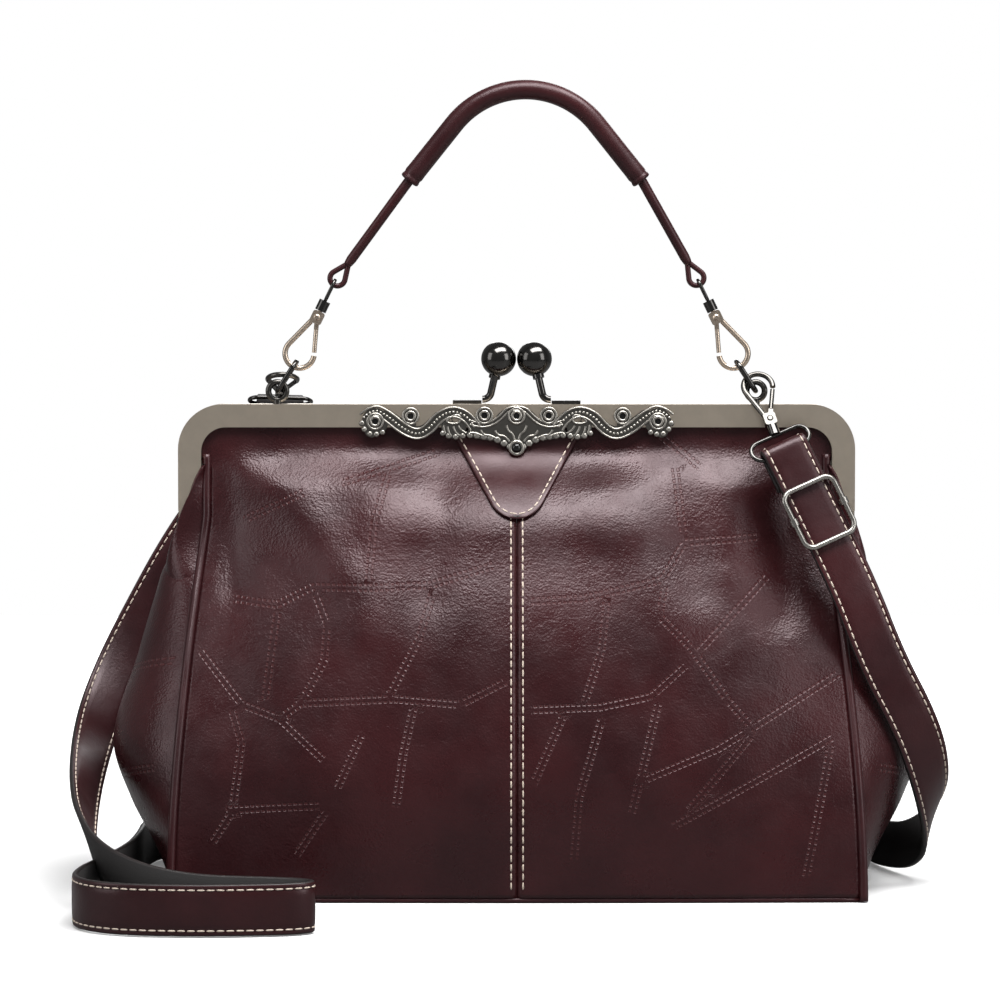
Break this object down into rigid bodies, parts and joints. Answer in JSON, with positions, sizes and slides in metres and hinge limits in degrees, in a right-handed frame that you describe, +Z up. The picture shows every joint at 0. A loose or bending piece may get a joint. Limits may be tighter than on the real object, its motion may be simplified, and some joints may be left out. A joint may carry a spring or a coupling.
{
  "type": "kiss lock frame purse",
  "caption": "Leather handbag on a hinged metal frame with a kiss lock, filigree ornament, snap-hooked rolled handle and a shoulder strap with a slider.",
  "frame": {"origin": "middle of the bag's footprint on the surface it stands on", "axes": "+X along the frame towards the bag's left-hand side as worn, seen on the right from the front; the front faces -Y; +Z up"},
  "size_m": [0.3502, 0.2149, 0.3205],
  "materials": {
    "leather": "glossy, grained, with pressed stitch rows",
    "piping": "glossy",
    "strap_leather": "glossy, cream stitching",
    "handle_leather": "glossy, sewn roll",
    "lining": "matt woven",
    "board": "plain",
    "frame_metal": "satin pewter",
    "hook_metal": "satin bronze-pewter",
    "dark_metal": "polished gunmetal",
    "filigree": "antique pewter"
  },
  "bodies": {
    "bag": {"front_jaw": "frame_metal", "hinge_pins": "frame_metal", "eyelet_left": "frame_metal", "eyelet_right": "frame_metal", "lock_base_right": "frame_metal", "filigree_plate": "filigree", "filigree_studs": "filigree", "front_tab": "strap_leather", "front_panel_left": "leather", "front_panel_right": "leather", "back_panel_left": "leather", "back_panel_right": "leather", "gusset_left": "leather", "gusset_right": "leather", "piping_front_left": "piping", "piping_front_right": "piping", "piping_back_left": "piping", "piping_back_right": "piping", "bottom_panel": "leather", "base_board": "board", "lining": "lining", "shoulder_strap": "strap_leather", "strap_hook_left_body": "hook_metal", "strap_hook_left_rivet": "hook_metal", "strap_hook_left_swivel": "dark_metal", "strap_hook_right_body": "hook_metal", "strap_hook_right_rivet": "hook_metal", "strap_hook_right_swivel": "dark_metal"},
    "back_jaw": {"back_jaw": "frame_metal", "lock_base_left": "frame_metal"},
    "lock_left": {"lock_arm_left": "dark_metal", "lock_ball_left": "dark_metal"},
    "lock_right": {"lock_arm_right": "dark_metal", "lock_ball_right": "dark_metal"},
    "rings": {"jump_ring_left": "dark_metal", "jump_ring_right": "dark_metal"},
    "handle": {"handle_grip": "handle_leather", "handle_cord_left": "handle_leather", "handle_cord_right": "handle_leather", "handle_hook_left_swivel": "dark_metal", "handle_hook_right_swivel": "dark_metal"},
    "handle_hook_left": {"handle_hook_left_body": "hook_metal", "handle_hook_left_rivet": "hook_metal"},
    "handle_hook_right": {"handle_hook_right_body": "hook_metal", "handle_hook_right_rivet": "hook_metal"},
    "handle_gate_left": {"handle_hook_left_gate": "hook_metal"},
    "handle_gate_right": {"handle_hook_right_gate": "hook_metal"},
    "strap_gate_left": {"strap_hook_left_gate": "hook_metal"},
    "strap_gate_right": {"strap_hook_right_gate": "hook_metal"},
    "slider": {"slider_frame": "dark_metal", "slider_bar": "dark_metal"}
  },
  "joints": [
    {"name": "back_jaw_open", "type": "hinge", "parent": "bag", "child": "back_jaw", "pos_m": [0, 0, 0.144], "axis": [-1, 0, 0], "range_deg": [0, 75], "deforming": ["back_panel_left", "back_panel_right", "gusset_left", "gusset_right", "lining", "piping_back_left", "piping_back_right", "shoulder_strap"]},
    {"name": "lock_left_flex", "type": "hinge", "parent": "back_jaw", "child": "lock_left", "pos_m": [-0.0137, 0.00308, 0.1938], "axis": [0, -1, 0], "range_deg": [0, 3], "stiffness_Nm_per_rad": 0.3},
    {"name": "lock_right_flex", "type": "hinge", "parent": "bag", "child": "lock_right", "pos_m": [0.0137, -0.00308, 0.1938], "axis": [0, 1, 0], "range_deg": [0, 3], "stiffness_Nm_per_rad": 0.3},
    {"name": "rings_swing", "type": "hinge", "parent": "bag", "child": "rings", "pos_m": [0, -0.00308, 0.20022], "axis": [1, 0, 0], "range_deg": [-10, 10]},
    {"name": "handle_swing", "type": "hinge", "parent": "rings", "child": "handle", "pos_m": [0, -0.00308, 0.20693], "axis": [1, 0, 0], "range_deg": [-50, 50]},
    {"name": "handle_hook_left_swivel", "type": "hinge", "parent": "handle", "child": "handle_hook_left", "pos_m": [-0.07769, -0.00308, 0.2303], "axis": [0.4384, 0, 0.8988], "range_deg": [-8, 8]},
    {"name": "handle_hook_right_swivel", "type": "hinge", "parent": "handle", "child": "handle_hook_right", "pos_m": [0.07769, -0.00308, 0.2303], "axis": [-0.4384, 0, 0.8988], "range_deg": [-8, 8]},
    {"name": "handle_gate_left_open", "type": "hinge", "parent": "handle_hook_left", "child": "handle_gate_left", "pos_m": [-0.07953, -0.00308, 0.22652], "axis": [0, 1, 0], "range_deg": [0, 13], "stiffness_Nm_per_rad": 0.02},
    {"name": "handle_gate_right_open", "type": "hinge", "parent": "handle_hook_right", "child": "handle_gate_right", "pos_m": [0.07953, -0.00308, 0.22652], "axis": [0, -1, 0], "range_deg": [0, 13], "stiffness_Nm_per_rad": 0.02},
    {"name": "strap_gate_left_open", "type": "hinge", "parent": "bag", "child": "strap_gate_left", "pos_m": [-0.0951, 0.01733, 0.19637], "axis": [0, -0.342, -0.9397], "range_deg": [0, 13], "stiffness_Nm_per_rad": 0.02},
    {"name": "strap_gate_right_open", "type": "hinge", "parent": "bag", "child": "strap_gate_right", "pos_m": [0.10034, -0.01443, 0.18594], "axis": [0, -0.848, 0.5299], "range_deg": [0, 13], "stiffness_Nm_per_rad": 0.02},
    {"name": "slider_slide", "type": "slide", "parent": "bag", "child": "slider", "axis": [0.4293, -0.1708, -0.8869], "range_m": [-0.008, 0.008]}
  ]
}
